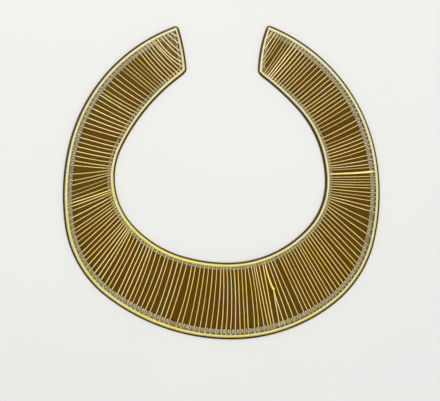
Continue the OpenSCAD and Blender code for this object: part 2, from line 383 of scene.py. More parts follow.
def borderSides(outerIn, innerIn, endIn):  # the four sides of the outline, drawn in by these distances
    outer, inner, left, right = (stretch(trace(arcs, away)) for arcs, away in
                                 zip(wireArcs, (-outerIn, innerIn, -endIn, -endIn)))
    corners = {"leftTip": crossing(outer, left), "rightTip": crossing(outer, right),
               "rightFoot": crossing(inner, right), "leftFoot": crossing(inner, left)}
    n, m = gridLook["along"], gridLook["across"]
    return (evenly(outer, corners["leftTip"][0], corners["rightTip"][0], n),
            evenly(right, corners["rightTip"][1], corners["rightFoot"][1], m),
            evenly(inner, corners["leftFoot"][0], corners["rightFoot"][0], n),
            evenly(left, corners["leftTip"][1], corners["leftFoot"][1], m))


def insideRing(outerIn, innerIn, endIn):  # one closed loop with square corners
    outer, right, inner, left = borderSides(outerIn, innerIn, endIn)
    k = gridLook["corner"]
    fans = [np.repeat(corner[None], k, 0) for corner in (right[0], right[-1], left[-1], left[0])]
    return np.vstack([outer, fans[0], right, fans[1], inner[::-1], fans[2], left[::-1], fans[3]])


def outsideRing(out):  # one closed loop round the wires with rounded corners
    n, m, k = gridLook["along"], gridLook["across"], gridLook["corner"]
    lines = [trace(outerArcs, out), trace(rightArcs, out), trace(innerArcs, -out)[::-1],
             trace(leftArcs, out)]
    lines = [evenly(line, 0, len(line) - 1, count) for line, count in zip(lines, (n, m, n, m))]
    reach = gridLook["cornerReach"] * abs(out)
    loop = []
    for line, after, corner in zip(lines, lines[1:] + lines[:1], (rightTip, rightFoot, leftFoot, leftTip)):
        start, end = (math.atan2(*(p - corner)[::-1]) for p in (line[-1], after[0]))
        sweep = (end - start + math.pi) % (2 * math.pi) - math.pi
        turns = start + sweep * np.arange(1, k + 1) / (k + 1)
        loop += [line, corner + reach * np.c_[np.cos(turns), np.sin(turns)]]
    return np.vstack(loop)


def fieldGrid(outerIn, innerIn, endIn):  # points spread over the area that insideRing bounds
    outer, right, inner, left = borderSides(outerIn, innerIn, endIn)
    n, m, power = gridLook["along"], gridLook["across"], gridLook["bowFades"]
    u, v = np.arange(n + 1)[:, None, None] / n, np.arange(m + 1)[None, :, None] / m
    flat = (1 - v) * outer[:, None] + v * inner[:, None]
    leftBow = left[None] - ((1 - v) * left[0] + v * left[-1])
    rightBow = right[None] - ((1 - v) * right[0] + v * right[-1])
    return flat + (1 - u) ** power * leftBow + u ** power * rightBow


def ringIndex(i, j):  # where the grid's edge point i, j lies in a ring
    n, m, k = gridLook["along"], gridLook["across"], gridLook["corner"]
    if j == 0:
        return i
    if j == m:
        return n + 1 + k + m + 1 + k + n - i
    return n + 1 + k + j if i == n else 2 * (n + 1) + m + 1 + 3 * k + m - j


def planished(points, size, depth, seed, steepness=2.2):  # round hammer marks with ridges between them
    nearest = [noise.voronoi(Vector((x / size, y / size, seed)))[0][0] for x, y in points]
    return depth * np.minimum(1.0, np.array(nearest) ** 2 * steepness)


class Shell:  # a closed skin made of rings and grids, with one value stored at each point
    def __init__(self):
        self.verts, self.faces, self.values = [], [], []

    def ring(self, flat, height, value):
        start = len(self.verts)
        self.verts += [(x, y, z) for (x, y), z in zip(flat, np.broadcast_to(height, len(flat)))]
        self.values += [value] * len(flat)
        return start, len(flat)

    def join(self, loops):
        for (a, count), (b, _) in zip(loops, loops[1:]):
            self.faces += [(a + i, a + (i + 1) % count, b + (i + 1) % count, b + i) for i in range(count)]

    def fill(self, ring, grid, heights, value):
        n, m = gridLook["along"], gridLook["across"]
        start = len(self.verts)
        inner = grid[1:n, 1:m].reshape(-1, 2)
        self.verts += [(x, y, z) for (x, y), z in zip(inner, heights(inner))]
        self.values += [value] * len(inner)

        def at(i, j):
            if 0 < i < n and 0 < j < m:
                return start + (i - 1) * (m - 1) + j - 1
            return ring[0] + ringIndex(i, j)

        self.faces += [(at(i, j), at(i + 1, j), at(i + 1, j + 1), at(i, j + 1))
                       for i in range(n) for j in range(m)]

    def piece(self, name, attribute):
        piece = newPiece(name, np.array(self.verts) * mm, self.faces)
        storeValue(piece.data, attribute, self.values)
        turnOut(piece.data, weld=0.002 * mm)
        return piece


def flatPoints(piece):  # a piece's points seen from above, in mm
    return np.array([vert.co[:2] for vert in piece.data.vertices]) / mm


# The back plate, with a bevelled lip and a rebate for the border. Sizes are in mm, and distances in or
# out are counted from the middle of the wires
plateLook = {
    "lip": 2.05,
    "floor": 0.8, "top": 1.2,        # heights of the rebate and the ribbed field
    "borderStart": 1.0,
    "borderEnds": (4.1, 2.9, 2.8),   # inside the outer rim, the inner rim and the end bars
    # in from the lip's edge, height, and whether hammer marks show
    "lipRows": ((0.07, 0.1, 0), (0.0, 0.3, 1), (0.0, 0.52, 1), (0.06, 0.7, 1), (0.25, 0.8, 1)),
    # out from the field's edge, height, and share of the lip's dark colour, which paints shade on the
    # rebate's walls
    "wallRows": ((0.12, 0.8, 1.0), (0.03, 1.04, 0.8)),
    "backBevel": 0.3, "backMarksLeft": 0.4,     # in from the lip's edge, and how much of the marks is left
    "underWires": 0.9,               # a loop on the rebate's floor
    "fieldBevel": 0.02,              # how much lower the field's edge is
    # shares of the lip's dark colour at the edge of the field, and below at its middle and its edge; this is
    # painted shade in the field's corner and under the plate
    "fieldShare": 0.5, "backShares": (0.3, 0.5),
    # hammer marks, by size, depth and seed
    "fieldMarks": (4.2, 0.06, 8.4), "backMarks": (6.0, 0.06, 3.1), "edgeMarks": (3.0, 0.07, 5.7),
    "washReach": 22,                 # from the left tip
}


def borderRing(share, out=0.0):  # a loop across the border, 0 beside the wires and 1 at the field
    start = plateLook["borderStart"]
    return insideRing(*(start + share * (end - start) - out for end in plateLook["borderEnds"]))


def makePlate():
    look, shell = plateLook, Shell()

    def under(points):
        return planished(points, *look["backMarks"])

    def over(points):
        return look["top"] - look["fieldMarks"][1] + planished(points, *look["fieldMarks"])

    flat = insideRing(*look["borderEnds"])
    # each ring stores its share of the lip's dark colour: patina on the lip, painted shade on the walls, the
    # field's edge and the underside
    bottom = shell.ring(flat, under(flat), look["backShares"][0])
    loop = outsideRing(look["lip"] - look["backBevel"])
    loops = [bottom, shell.ring(loop, under(loop) * look["backMarksLeft"], look["backShares"][1])]
    for back, height, marked in look["lipRows"]:
        loop = outsideRing(look["lip"] - back)
        loops.append(shell.ring(loop, height - planished(loop, *look["edgeMarks"]) * marked, 1.0))
    loops.append(shell.ring(outsideRing(look["underWires"]), look["floor"], 1.0))
    loops.append(shell.ring(borderRing(0.0), look["floor"], 1.0))
    for out, height, share in look["wallRows"]:
        loops.append(shell.ring(borderRing(1.0, out), height, share))
    loops.append(shell.ring(flat, over(flat) - look["fieldBevel"], look["fieldShare"]))
    shell.join(loops)
    grid = fieldGrid(*look["borderEnds"])
    shell.fill(loops[-1], grid, over, 0.0)
    shell.fill(bottom, grid, under, 0.0)
    plate = shell.piece("backPlate", "lip")
    fromTip = np.linalg.norm(flatPoints(plate) - leftTip, axis=1)
    storeValue(plate.data, "wash", np.clip(1 - fromTip / look["washReach"], 0, 1))
    plate.data.materials.append(plateBronze)
    return settle(plate, "plate_bronze", "back_plate")


# The grey border strip, laid in the rebate
bandLook = {
    # share of the way across the border, mm over the plate's top, and whether it is its worn upper face
    "profile": ((0.02, -0.35, 0), (0.02, -0.1, 0), (0.06, -0.02, 1), (0.3, 0.01, 1), (0.7, 0.01, 1),
                (0.93, -0.02, 1), (0.96, -0.1, 0), (0.96, -0.35, 0)),
    "marks": (1.6, 0.05, 1.3),
    # the flanks' crown also sets how much dirt and painted shade they get
    "flankCrown": 0.4,       # how far its flanks count as facing upwards
    # how far it is worn off beside the rims, by bearing, and beside the left and right end bar
    "outerFades": ((108, 0.65), (122, 0.1), (150, 0.05), (170, 0.22), (200, 0.22), (225, 0.0),
                   (345, 0.0), (385, 0.1), (405, 0.2), (418, 0.3), (431, 0.5)),
    "innerFades": ((108, 0.7), (150, 0.45), (180, 0.25), (210, 0.05), (250, 0.0), (340, 0.0),
                   (380, 0.2), (431, 0.5)),
    "endFades": (0.3, 0.1),
}


def bearingFrom(points):  # of places round the fan centre, counted on from 90 at the top
    way = np.atleast_2d(points)[:, :2] - fanCentre
    return (np.degrees(np.arctan2(way[:, 1], way[:, 0])) - 90) % 360 + 90


def readRows(rows, place):  # a value between rows of place and value
    return np.interp(place, *zip(*rows))


def fadeAt(points):  # how faded the border is beside the nearest wire
    flat, bearing = np.atleast_2d(points)[:, None, :2], bearingFrom(points)
    away = [np.linalg.norm(flat - trace(arcs, pitch=2.0)[None], axis=2).min(1) for arcs in wireArcs]
    fades = [readRows(bandLook[side], bearing) for side in ("outerFades", "innerFades")]
    fades += [np.full(len(flat), fade) for fade in bandLook["endFades"]]
    return np.choose(np.argmin(away, axis=0), fades)


def makeBorder():
    shell, loops = Shell(), []
    for share, rise, worn in bandLook["profile"]:
        loop = borderRing(share)
        height = plateLook["top"] + rise - planished(loop, *bandLook["marks"]) * worn
        loops.append(shell.ring(loop, height, 1.0 if worn else bandLook["flankCrown"]))
    shell.join(loops + loops[:1])
    band = shell.piece("borderBand", "crown")
    storeValue(band.data, "fade", fadeAt(flatPoints(band)))
    band.data.materials.append(bandSilver)
    return settle(band, "border_silver", "border_band")


# Parts that the geometry node trees share
def newTree(name, inputs, numbers):  # its first input is the mesh that it starts from
    tree = bpy.data.node_groups.new(name, "GeometryNodeTree")
    tree.is_modifier = True
    for label, kind in (*inputs, *((number, "Float") for number in numbers)):
        tree.interface.new_socket(label, in_out="INPUT", socket_type="NodeSocket" + kind)
    tree.interface.new_socket("Piece", in_out="OUTPUT", socket_type="NodeSocketGeometry")
    return tree, addNode(tree, "NodeGroupInput").outputs


def readStored(tree, name, kind="FLOAT"):
    return nodeOut(tree, "GeometryNodeInputNamedAttribute", {"Name": name}, data_type=kind)


def keepValue(tree, geometry, name, value):
    return nodeOut(tree, "GeometryNodeStoreNamedAttribute",
                   {"Geometry": geometry, "Name": name, "Value": value},
                   data_type="FLOAT", domain="POINT")


def move(tree, geometry, way, distance):
    return nodeOut(tree, "GeometryNodeSetPosition",
                   {"Geometry": geometry, "Offset": scaled(tree, way, distance)})


def storeCrown(tree, geometry, normal):  # crown is how far a surface faces upwards
    upwards = addNode(tree, "ShaderNodeSeparateXYZ", {0: normal}).outputs["Z"]
    return keepValue(tree, geometry, "crown", upwards)


def closeTree(tree, mesh, finish):
    mesh = nodeOut(tree, "GeometryNodeSetShadeSmooth", {"Geometry": mesh})
    mesh = nodeOut(tree, "GeometryNodeRealizeInstances", {"Geometry": mesh})
    mesh = nodeOut(tree, "GeometryNodeSetMaterial", {"Geometry": mesh, "Material": finish})
    addNode(tree, "NodeGroupOutput", {0: mesh})
    return tree


def grow(source, tree, values):  # runs a node tree on an object and gives back a plain mesh object
    modifier = source.modifiers.new("grow", "NODES")
    modifier.node_group = tree
    for item in tree.interface.items_tree:
        if item.in_out == "INPUT" and item.name in values:
            modifier[item.identifier] = values[item.name]
    bpy.context.view_layer.update()
    evaluated = source.evaluated_get(bpy.context.evaluated_depsgraph_get())
    mesh = bpy.data.meshes.new_from_object(evaluated)
    source.modifiers.remove(modifier)
    name = source.name
    bpy.data.objects.remove(source)
    turnOut(mesh)
    return newObject(name, mesh)


# Every wire follows a line, wavers, thins and thickens, and takes hammer marks
wireShape = {
    "waverRise": 0.5,        # power of the arch that a waver follows
    "frostEdge": 0.8,        # share of its reach where frost begins to fade
    "lumpFineness": 1.6,     # thick places to one waver
    "lumpSeed": 5.0,
}


def wireTree():
    tree, given = newTree("hammeredWire", (("Line", "Geometry"), ("Sides", "Int"), ("Finish", "Material")),
                          ("Pitch", "Waver", "Waver Length", "Unevenness", "Hammer Depth", "Hammer Size",
                           "Frost At Start", "Frost At End", "End Frost Share", "Seed"))
    curve = nodeOut(tree, "GeometryNodeMeshToCurve", {"Mesh": given["Line"]})
    curve = nodeOut(tree, "GeometryNodeResampleCurve", {"Curve": curve, "Length": given["Pitch"]},
                    mode="LENGTH")
    where = nodeOut(tree, "GeometryNodeInputPosition")
    along = addNode(tree, "GeometryNodeSplineParameter").outputs
    total = addNode(tree, "GeometryNodeSplineLength").outputs["Length"]
    # the arch is 0 at both ends of a wire and 1 in its middle
    arch = times(tree, times(tree, along["Factor"], 4.0),
                 maths(tree, "SUBTRACT", 1.0, along["Factor"]))

    def fading(distance, reach):
        edge = times(tree, reach, wireShape["frostEdge"])
        return between(tree, distance, edge, reach, 1.0, 0.0)

    # frost is the silver bloom at either end, over the border
    fromStart = fading(along["Length"], given["Frost At Start"])
    fromEnd = fading(maths(tree, "SUBTRACT", total, along["Length"]), given["Frost At End"])
    fromEnd = times(tree, fromEnd, given["End Frost Share"])
    frost = times(tree, maths(tree, "MAXIMUM", fromStart, fromEnd), readStored(tree, "bloom"))
    curve = keepValue(tree, curve, "frost", frost)
    tangent = nodeOut(tree, "GeometryNodeInputTangent")
    side = nodeOut(tree, "ShaderNodeVectorMath", {0: tangent, 1: (0, 0, 1)},
                   operation="CROSS_PRODUCT")
    waves = swing(tree, where, maths(tree, "DIVIDE", 1.0, given["Waver Length"]),
                  maths(tree, "ADD", given["Seed"], readStored(tree, "seed")))
    waver = times(tree, times(tree, waves, given["Waver"]),
                  maths(tree, "POWER", arch, wireShape["waverRise"]))
    # a bowed wire swings about its straight line, so that its ends move back as its middle moves out
    swung = maths(tree, "SUBTRACT", arch, readStored(tree, "balance"))
    curve = move(tree, curve, side, maths(tree, "MULTIPLY_ADD", readStored(tree, "bow"), swung, waver))
    lumps = swing(tree, where, maths(tree, "DIVIDE", wireShape["lumpFineness"], given["Waver Length"]),
                  maths(tree, "ADD", given["Seed"], wireShape["lumpSeed"]))
    fat = times(tree, readStored(tree, "thickness"),
                maths(tree, "MULTIPLY_ADD", lumps, given["Unevenness"], 1.0))
    profile = nodeOut(tree, "GeometryNodeCurvePrimitiveCircle",
                      {"Resolution": given["Sides"], "Radius": 1.0})
    mesh = nodeOut(tree, "GeometryNodeCurveToMesh",
                   {"Curve": curve, "Profile Curve": profile, "Scale": fat, "Fill Caps": True})
    normal = nodeOut(tree, "GeometryNodeInputNormal")
    mesh = storeCrown(tree, mesh, normal)
    fineness = maths(tree, "DIVIDE", 1.0, given["Hammer Size"])
    marks = addNode(tree, "ShaderNodeTexVoronoi", {"Vector": where, "Scale": fineness}).outputs["Distance"]
    marks = maths(tree, "MULTIPLY_ADD", times(tree, marks, marks), 2.0, -1.0)
    mesh = move(tree, mesh, normal, times(tree, marks, given["Hammer Depth"]))
    return closeTree(tree, mesh, given["Finish"])


hammeredWire = wireTree()
# what a line has where it names nothing else
usualLine = {"bow": 0.0, "balance": 0.0, "bright": 0.0, "wear": 0.0, "bloom": 1.0, "seed": 0.0}


def drawLines(name, lines):  # a line has points, a tone, and in mm a bow and a thickness from its middle
    verts, edges = [], []
    values = {label: [] for label in ("thickness", "tone", *usualLine)}
    for line in lines:
        start, count = len(verts), len(line["points"])
        verts += [np.array(p) * mm for p in line["points"]]
        edges += [(start + i, start + i + 1) for i in range(count - 1)]
        for label in values:
            unit = mm if label in ("thickness", "bow") else 1.0
            values[label] += list(np.broadcast_to({**usualLine, **line}[label], count) * unit)
    piece = newPiece(name, verts, [], edges)
    for label in values:
        storeValue(piece.data, label, values[label])
    return piece


# Rim wires and end bars
rimLook = {
    "height": 1.8, "radius": 0.99, "step": 0.7,      # mm
    # how thick they are, as shares: the rims by bearing, and the end bars from the opening to the tip
    "outerWidths": ((100, 1.0), (126, 0.98), (148, 0.91), (170, 0.94), (190, 1.03), (236, 1.06),
                    (256, 1.0), (270, 0.86), (286, 0.97), (306, 0.93), (336, 0.87), (356, 0.87),
                    (370, 0.93), (392, 0.91), (412, 1.06), (432, 0.98)),
    "innerWidths": ((100, 0.86), (118, 0.84), (150, 0.82), (172, 0.93), (190, 1.09), (240, 1.09),
                    (270, 1.03), (306, 0.96), (336, 0.85), (352, 0.82), (368, 0.87), (390, 0.8),
                    (410, 0.85), (432, 0.76)),
    "barWidths": (0.93, 0.67),
    # how far a wire lies to the right of its arc, in mm by bearing
    "drifts": ((100, 0.25), (210, 0.25), (270, 0.0), (320, 0.05), (345, 0.25), (390, 0.35), (415, 0.0),
               (432, 0.0)),
    # how pale the gold is, and how much it is darkened by wear and by painted shade that damps the key
    # light's highlights, by bearing
    "tones": ((100, 0.9), (140, 0.9), (186, 0.43), (238, 0.0), (265, 0.05), (297, 0.25), (352, 0.8),
              (430, 0.9)),
    "wears": ((100, 0.22), (150, 0.22), (170, 0.06), (185, 0.0), (245, 0.0), (262, 0.1), (285, 0.24),
              (325, 0.24), (350, 0.12), (366, 0.0), (415, 0.0), (432, 0.08)),
    "Pitch": 0.7 * mm, "Sides": 20, "Waver": 0.10 * mm, "Waver Length": 9 * mm, "Unevenness": 0.05,
    "Hammer Depth": 0.035 * mm, "Hammer Size": 2.2 * mm, "Seed": 2.0, "Finish": rimGold,
}


def makeRim(name, arcs, node, widths):  # widths are rows by bearing, or only those at its two ends
    flat = trace(arcs, pitch=rimLook["step"])
    points = np.c_[flat, np.full(len(flat), rimLook["height"])]
    bearings = bearingFrom(points)
    points[:, 0] += readRows(rimLook["drifts"], bearings)
    shares = readRows(widths, bearings) if len(widths) > 2 else np.linspace(*widths, len(flat))
    line = {"points": points, "thickness": rimLook["radius"] * shares, "bloom": 0.0,
            "tone": readRows(rimLook["tones"], bearings), "wear": readRows(rimLook["wears"], bearings)}
    return settle(grow(drawLines(name, [line]), hammeredWire, rimLook), "rim_gold", node)


# Ribs. The line of each comes from its rod in the solid model
ribLook = {
    "height": 1.62, "radius": 0.40,                   # mm
    # mm from a wire's middle where its end is sunk, most mm that it runs on to there, how squarely at least
    "sunk": 0.55, "longest": 2.4, "leastCosine": 0.1,
    "rodEnd": 0.3, "rodStart": 1.0,     # mm of a rod that count as its end, mm from there to a wire's middle
    # how far a rib bows, in mm towards the larger bearing, by the bearing of its outer end
    "bows": ((109.8, 0.0), (111.1, 0.2), (112.3, 0.6), (113.6, 0.4), (114.8, 1.6), (116.1, 0.9),
             (117.1, 0.5), (118.3, 1.0), (119.6, 0.9), (120.8, 0.2), (122, 0.9), (123.3, 0.6),
             (126.7, 0.1), (132.6, 0.0), (134.7, 0.5), (142.5, 0.7), (147, 0.35), (218, 0.2),
             (222, 0.9), (227, 0.1), (232, 0.2), (235, 0.9), (250, 0.5), (252.6, 1.2), (255, 0.5),
             (270, 0.7), (273, 1.1), (277, 0.1), (280, 0.1), (283, 1.1), (286, 0.0), (297, 0.1),
             (350, -0.1), (371, -0.4), (385, -0.35), (396, -0.1), (414, -0.15), (423, -0.1),
             (431.4, 0.0)),
    "balance": 0.6,
    "endFans": (116.6, 426.2),     # ribs beyond these bearings stop at an end bar and keep both ends
    # how silvery its ends are
    "blooms": ((108, 0.0), (117, 0.15), (127, 1.0), (411, 1.0), (422, 0.3), (432, 0.1)),
    # how pale a rib is, and how much it is darkened by wear and by painted shade that damps the key light's
    # highlights, or how creamy below 0
    "tones": ((109, 0.6), (120, 0.85), (135, 0.9), (155, 0.88), (175, 0.6), (195, 0.4), (230, 0.25),
              (260, 0.05), (325, 0.1), (350, 0.42), (390, 0.55), (405, 0.72), (431, 0.95)),
    "wears": ((109.8, -0.8), (113, -0.6), (117, -0.1), (120, -0.45), (123, 0.1), (126, 0.7),
              (134, 0.55), (145, 0.05), (160, 0.05), (176, 0.1), (179, 0.3), (182, 0.55), (187, 0.5),
              (189, -0.1), (191, 0.1), (193, 0.25), (211, 0.1), (217, -0.1), (330, -0.05), (344, 0.3),
              (354, 0.4), (358, 0.55), (366, 0.4), (371, 0.3), (393, 0.65), (399, 0.4), (408, 0.5),
              (416, 0.5), (420, -0.15), (422.5, -0.35), (425, 0.5), (427, 0.95), (429, 0.4),
              (431, 0.0)),
    # how much ribs differ by chance
    "radiusSpread": (0.86, 1.04), "bowSpread": 0.06, "toneSpread": 0.17, "brightSpread": 0.15,
    "wearSpread": 0.2, "wearLeast": -0.12, "seedSpread": 40,
    "seeds": {"leftRibs": 5, "rightRibs": 6},
    # bearings of the brightest ribs and reach to either side, and how bright and how much thicker they are
    "brightest": ((188.6, 1.2), (216, 1.8), (228.3, 0.8), (288, 1.6)), "bright": 0.5, "brightFatter": 0.12,
    "Pitch": 0.9 * mm, "Sides": 8, "Waver": 0.16 * mm, "Waver Length": 7 * mm, "Unevenness": 0.16,
    "Hammer Depth": 0.025 * mm, "Hammer Size": 1.4 * mm, "Frost At Start": 4.0 * mm, "Frost At End": 2.8 * mm,
    "End Frost Share": 0.6, "Seed": 11.0, "Finish": ribGold,
}


def bearingOf(rod):  # of a rod's outer end
    return float(bearingFrom(rod[0])[0])


def rodLines(node):  # the outer and the inner end of each loose rod of a CAD node, by bearing
    body = bmesh.new()
    body.from_mesh(cadNodes[node].data)
    bmesh.ops.remove_doubles(body, verts=body.verts, dist=0.0005 * mm)
    seen, rods = set(), []
    for first in body.verts:
        if first in seen:
            continue
        island, waiting = [], [first]
        seen.add(first)
        while waiting:
            vert = waiting.pop()
            island.append(np.array(vert.co) / mm)
            for edge in vert.link_edges:
                other = edge.other_vert(vert)
                if other not in seen:
                    seen.add(other)
                    waiting.append(other)
        island = np.array(island)
        way = np.linalg.svd(island - island.mean(0), full_matrices=False)[2][0]
        reach = island @ way
        near, far = reach < reach.min() + ribLook["rodEnd"], reach > reach.max() - ribLook["rodEnd"]
        ends = [island[near].mean(0), island[far].mean(0)]
        rods.append(sorted(ends, key=lambda end: -np.linalg.norm(end[:2] - fanCentre)))
    body.free()
    return sorted(rods, key=bearingOf)


wirePoints = np.vstack([trace(arcs) for arcs in wireArcs])


def sunkEnd(end, way):  # where a rod that runs on this way is sunk in the nearest wire
    toWires = wirePoints - end[:2]
    away = np.linalg.norm(toWires, axis=1)
    nearest = away.argmin()
    straight = max(toWires[nearest] @ way[:2] / away[nearest], ribLook["leastCosine"])
    return end + way * min((away[nearest] - ribLook["sunk"]) / straight, ribLook["longest"])


def reached(rod, height=0, count=12):  # a rod's line at a height, run on into the wires at both ends
    way = (rod[1] - rod[0]) / np.linalg.norm(rod[1] - rod[0])
    points = np.linspace(sunkEnd(rod[0], -way), sunkEnd(rod[1], way), count)
    points[:, 2] = height
    return points


def makeRibs(name, node, rods):
    look, lines = ribLook, []
    chance = np.random.default_rng(look["seeds"][name])
    for rod in rods:
        bearing = bearingOf(rod)
        bright = max(math.exp(-((bearing - place) / reach) ** 2) for place, reach in look["brightest"])
        lines.append({
            "points": reached(rod, look["height"]),
            "thickness": (look["radius"]
                          * (chance.uniform(*look["radiusSpread"]) + look["brightFatter"] * bright)),
            "bow": readRows(look["bows"], bearing) + chance.normal(0, look["bowSpread"]),
            "balance": look["balance"] * (look["endFans"][0] < bearing < look["endFans"][1]),
            "bloom": readRows(look["blooms"], bearing),
            "tone": readRows(look["tones"], bearing) + look["toneSpread"] * chance.uniform(-1, 1),
            "bright": look["bright"] * bright + look["brightSpread"] * chance.random(),
            "wear": (readRows(look["wears"], bearing)
                     + max(chance.normal(0, look["wearSpread"]), look["wearLeast"])),
            "seed": chance.uniform(0, look["seedSpread"]),
        })
    return settle(grow(drawLines(name, lines), hammeredWire, look), "rib_gold", node)


# Two heavy bars among the ribs. Sizes are in mm
barLook = {
    "underside": 1.22,
    "crossRadii": (0.92, 0.52), "crossBow": -0.3, "crossTone": 0.9, "crossBright": 0.4,
    "tipRadius": 0.42, "shoulderRadius": 0.86, "tailRadius": 0.4,
    "neck": 5.0, "neckCurve": 1.5,                  # how far the shoulder thins into a tail, and how hollow
    "wedgeBow": 0.7, "tailBow": -0.15, "tailSeed": 3.0, "forkTone": 0.5, "forkBright": 0.75,
    "solidTip": 0.5, "solidShoulder": 0.05, "solidTails": 2.5,   # how much of the solid counts as each
    "Pitch": 0.7 * mm, "Sides": 16, "Waver": 0.12 * mm, "Waver Length": 8 * mm, "Unevenness": 0.07,
    "Hammer Depth": 0.04 * mm, "Hammer Size": 1.8 * mm, "Frost At Start": 1.6 * mm, "Frost At End": 1.2 * mm,
    "End Frost Share": 1.0, "Seed": 23.0, "Finish": ribGold,
}


def makeCrossBar(rod):
    points = reached(rod)
    radii = np.linspace(*barLook["crossRadii"], len(points))
    points[:, 2] = barLook["underside"] + radii
    line = {"points": points, "thickness": radii, "bow": barLook["crossBow"], "tone": barLook["crossTone"],
            "bright": barLook["crossBright"]}
    return settle(grow(drawLines("crossBar", [line]), hammeredWire, barLook), "rib_gold", "cross_bar")


def forkEnds():  # the forked bar's thin end, its shoulder and its tails' outer ends, from the solid model
    verts = np.array([v.co for v in cadNodes["forked_bar"].data.vertices]) / mm
    away = np.linalg.norm(verts[:, :2] - fanCentre, axis=1)
    tip = verts[away < away.min() + barLook["solidTip"]].mean(0)
    shoulder = verts[verts[:, 2] > verts[:, 2].max() - barLook["solidShoulder"]].mean(0)
    far = verts[away > away.max() - barLook["solidTails"]]
    across = far[:, 0] > far[:, 0].mean()
    return tip, shoulder, [far[~across].mean(0), far[across].mean(0)]


def makeForkedBar(tip, shoulder, tails):
    look, lines = barLook, []
    wedge = reached((shoulder, tip), count=14)[1:]
    share = np.linspace(0, 1, len(wedge))
    aside = np.array([tip[1] - shoulder[1], shoulder[0] - tip[0], 0]) / np.linalg.norm((tip - shoulder)[:2])
    wedge -= aside * 4 * look["wedgeBow"] * (share * (1 - share))[:, None]      # a parabola
    wedgeRadii = look["shoulderRadius"] * (1 - share) + look["tipRadius"] * share
    for i, tail in enumerate(tails):
        line = reached((tail, shoulder), count=16)[:-1]
        thick = np.clip(1 - np.linalg.norm(line - line[-1], axis=1) / look["neck"], 0, 1)
        fatter = look["shoulderRadius"] - look["tailRadius"]
        radii = look["tailRadius"] + fatter * thick ** look["neckCurve"]
        bright = look["forkBright"] * thick
        if i == 1:     # the second tail runs on as the wedge
            line, radii = np.vstack([line, wedge]), np.r_[radii, wedgeRadii]
            bright = np.r_[bright, np.full(len(wedge), look["forkBright"])]
        line[:, 2] = look["underside"] + radii
        lines.append({"points": line, "thickness": radii, "bow": look["tailBow"], "tone": look["forkTone"],
                      "bright": bright, "seed": look["tailSeed"] * i})
    return settle(grow(drawLines("forkedBar", lines), hammeredWire, look), "rib_gold", "forked_bar")


# Small things set out on points: rounded cells on the border and solder at the joints
def scatterTree():
    tree, given = newTree("setOut", (("Points", "Geometry"), ("Shape", "Object"), ("Finish", "Material")),
                          ("Unevenness", "Lumps Per Metre", "Seed"))
    shape = addNode(tree, "GeometryNodeObjectInfo", {"Object": given["Shape"]}).outputs["Geometry"]
    turn, span = (readStored(tree, name, "FLOAT_VECTOR") for name in ("turn", "span"))
    turn = nodeOut(tree, "FunctionNodeEulerToRotation", {0: turn})
    mesh = nodeOut(tree, "GeometryNodeInstanceOnPoints",
                   {"Points": given["Points"], "Instance": shape, "Rotation": turn, "Scale": span})
    mesh = nodeOut(tree, "GeometryNodeRealizeInstances", {"Geometry": mesh})
    where = nodeOut(tree, "GeometryNodeInputPosition")
    normal = nodeOut(tree, "GeometryNodeInputNormal")
    lumps = swing(tree, where, given["Lumps Per Metre"], given["Seed"])
    mesh = move(tree, mesh, normal, times(tree, lumps, given["Unevenness"]))
    return closeTree(tree, storeCrown(tree, mesh, normal), given["Finish"])


setOut = scatterTree()
smallLumps = {"Lumps Per Metre": 900.0, "Seed": 4.0}


def lathed(name, profile, count, square):  # a closed round shape, squared off as square falls from 1
    verts, faces = [(0, 0, profile[0][1])], []
    for r, z in profile[1:-1]:
        for i in range(count):
            c, s = turned(360 * i / count)
            verts.append((r * math.copysign(abs(c) ** square, c), r * math.copysign(abs(s) ** square, s), z))
    last = len(verts)
    verts.append((0, 0, profile[-1][1]))
    rows = len(profile) - 2
    for i in range(count):
        j = (i + 1) % count
        faces += [(0, 1 + i, 1 + j), (last, last - count + j, last - count + i)]
        faces += [(1 + k * count + i, 1 + (k + 1) * count + i, 1 + (k + 1) * count + j, 1 + k * count + j)
                  for k in range(rows - 1)]
    return newPiece(name, verts, faces)


def setOutPiece(name, spots, look, label):  # a spot is its place in mm, size in mm, turn and labelled value
    points = newPiece(name, [np.array(spot[0]) * mm for spot in spots], [])
    for vector, index, unit in (("span", 1, mm), ("turn", 2, 1.0)):
        layer = points.data.attributes.new(vector, "FLOAT_VECTOR", "POINT")
        layer.data.foreach_set("vector", (np.array([spot[index] for spot in spots]) * unit).ravel())
    storeValue(points.data, label, [spot[3] for spot in spots])
    shape = lathed(name + "Shape", look["profile"], look["sides"], look["square"])
    piece = grow(points, setOut, {"Shape": shape, **look})
    bpy.data.objects.remove(shape)
    return piece


cellLook = {
    # radius and height, as shares of a cell's size
    "profile": ((0, 0.62), (0.3, 0.6), (0.62, 1.0), (0.85, 0.75), (1.0, 0.0), (0.96, -0.4), (0, -0.4)),
    "sides": 12, "square": 0.75,
    # at either end of a rib, how far a cell lies from the middle of the wire and how long it is, mm
    "ends": ((2.45, 2.3), (1.9, 1.2)),
    # by bearing, how much further in the outer cells reach, mm
    "reaches": ((100, 0.0), (215, 0.1), (235, 1.0), (298, 0.9), (325, 0.1), (432, 0.0)),
    "height": 0.24, "clear": 0.95, "narrowest": 0.55, "widest": 2.2, "widestGap": 4,    # mm
    "mostFaded": 0.42,
    # how much cells differ by chance
    "lengthSpread": (0.88, 1.05), "widthSpread": (0.85, 1.0), "heightSpread": (0.7, 1.1),
    "tilt": 0.05, "skew": 0.12,
    "seed": 9, "Unevenness": 0.05 * mm, "Finish": cellSilver, **smallLumps,
}


def directionOf(way):
    return math.atan2(way[1], way[0])


def rimSpot(rod, end, inward):  # a place on a rib, measured in from the middle of the rim wire
    way = rod[1 - end] - rod[end]
    return rod[end] + way / np.linalg.norm(way) * (inward - ribLook["rodStart"])


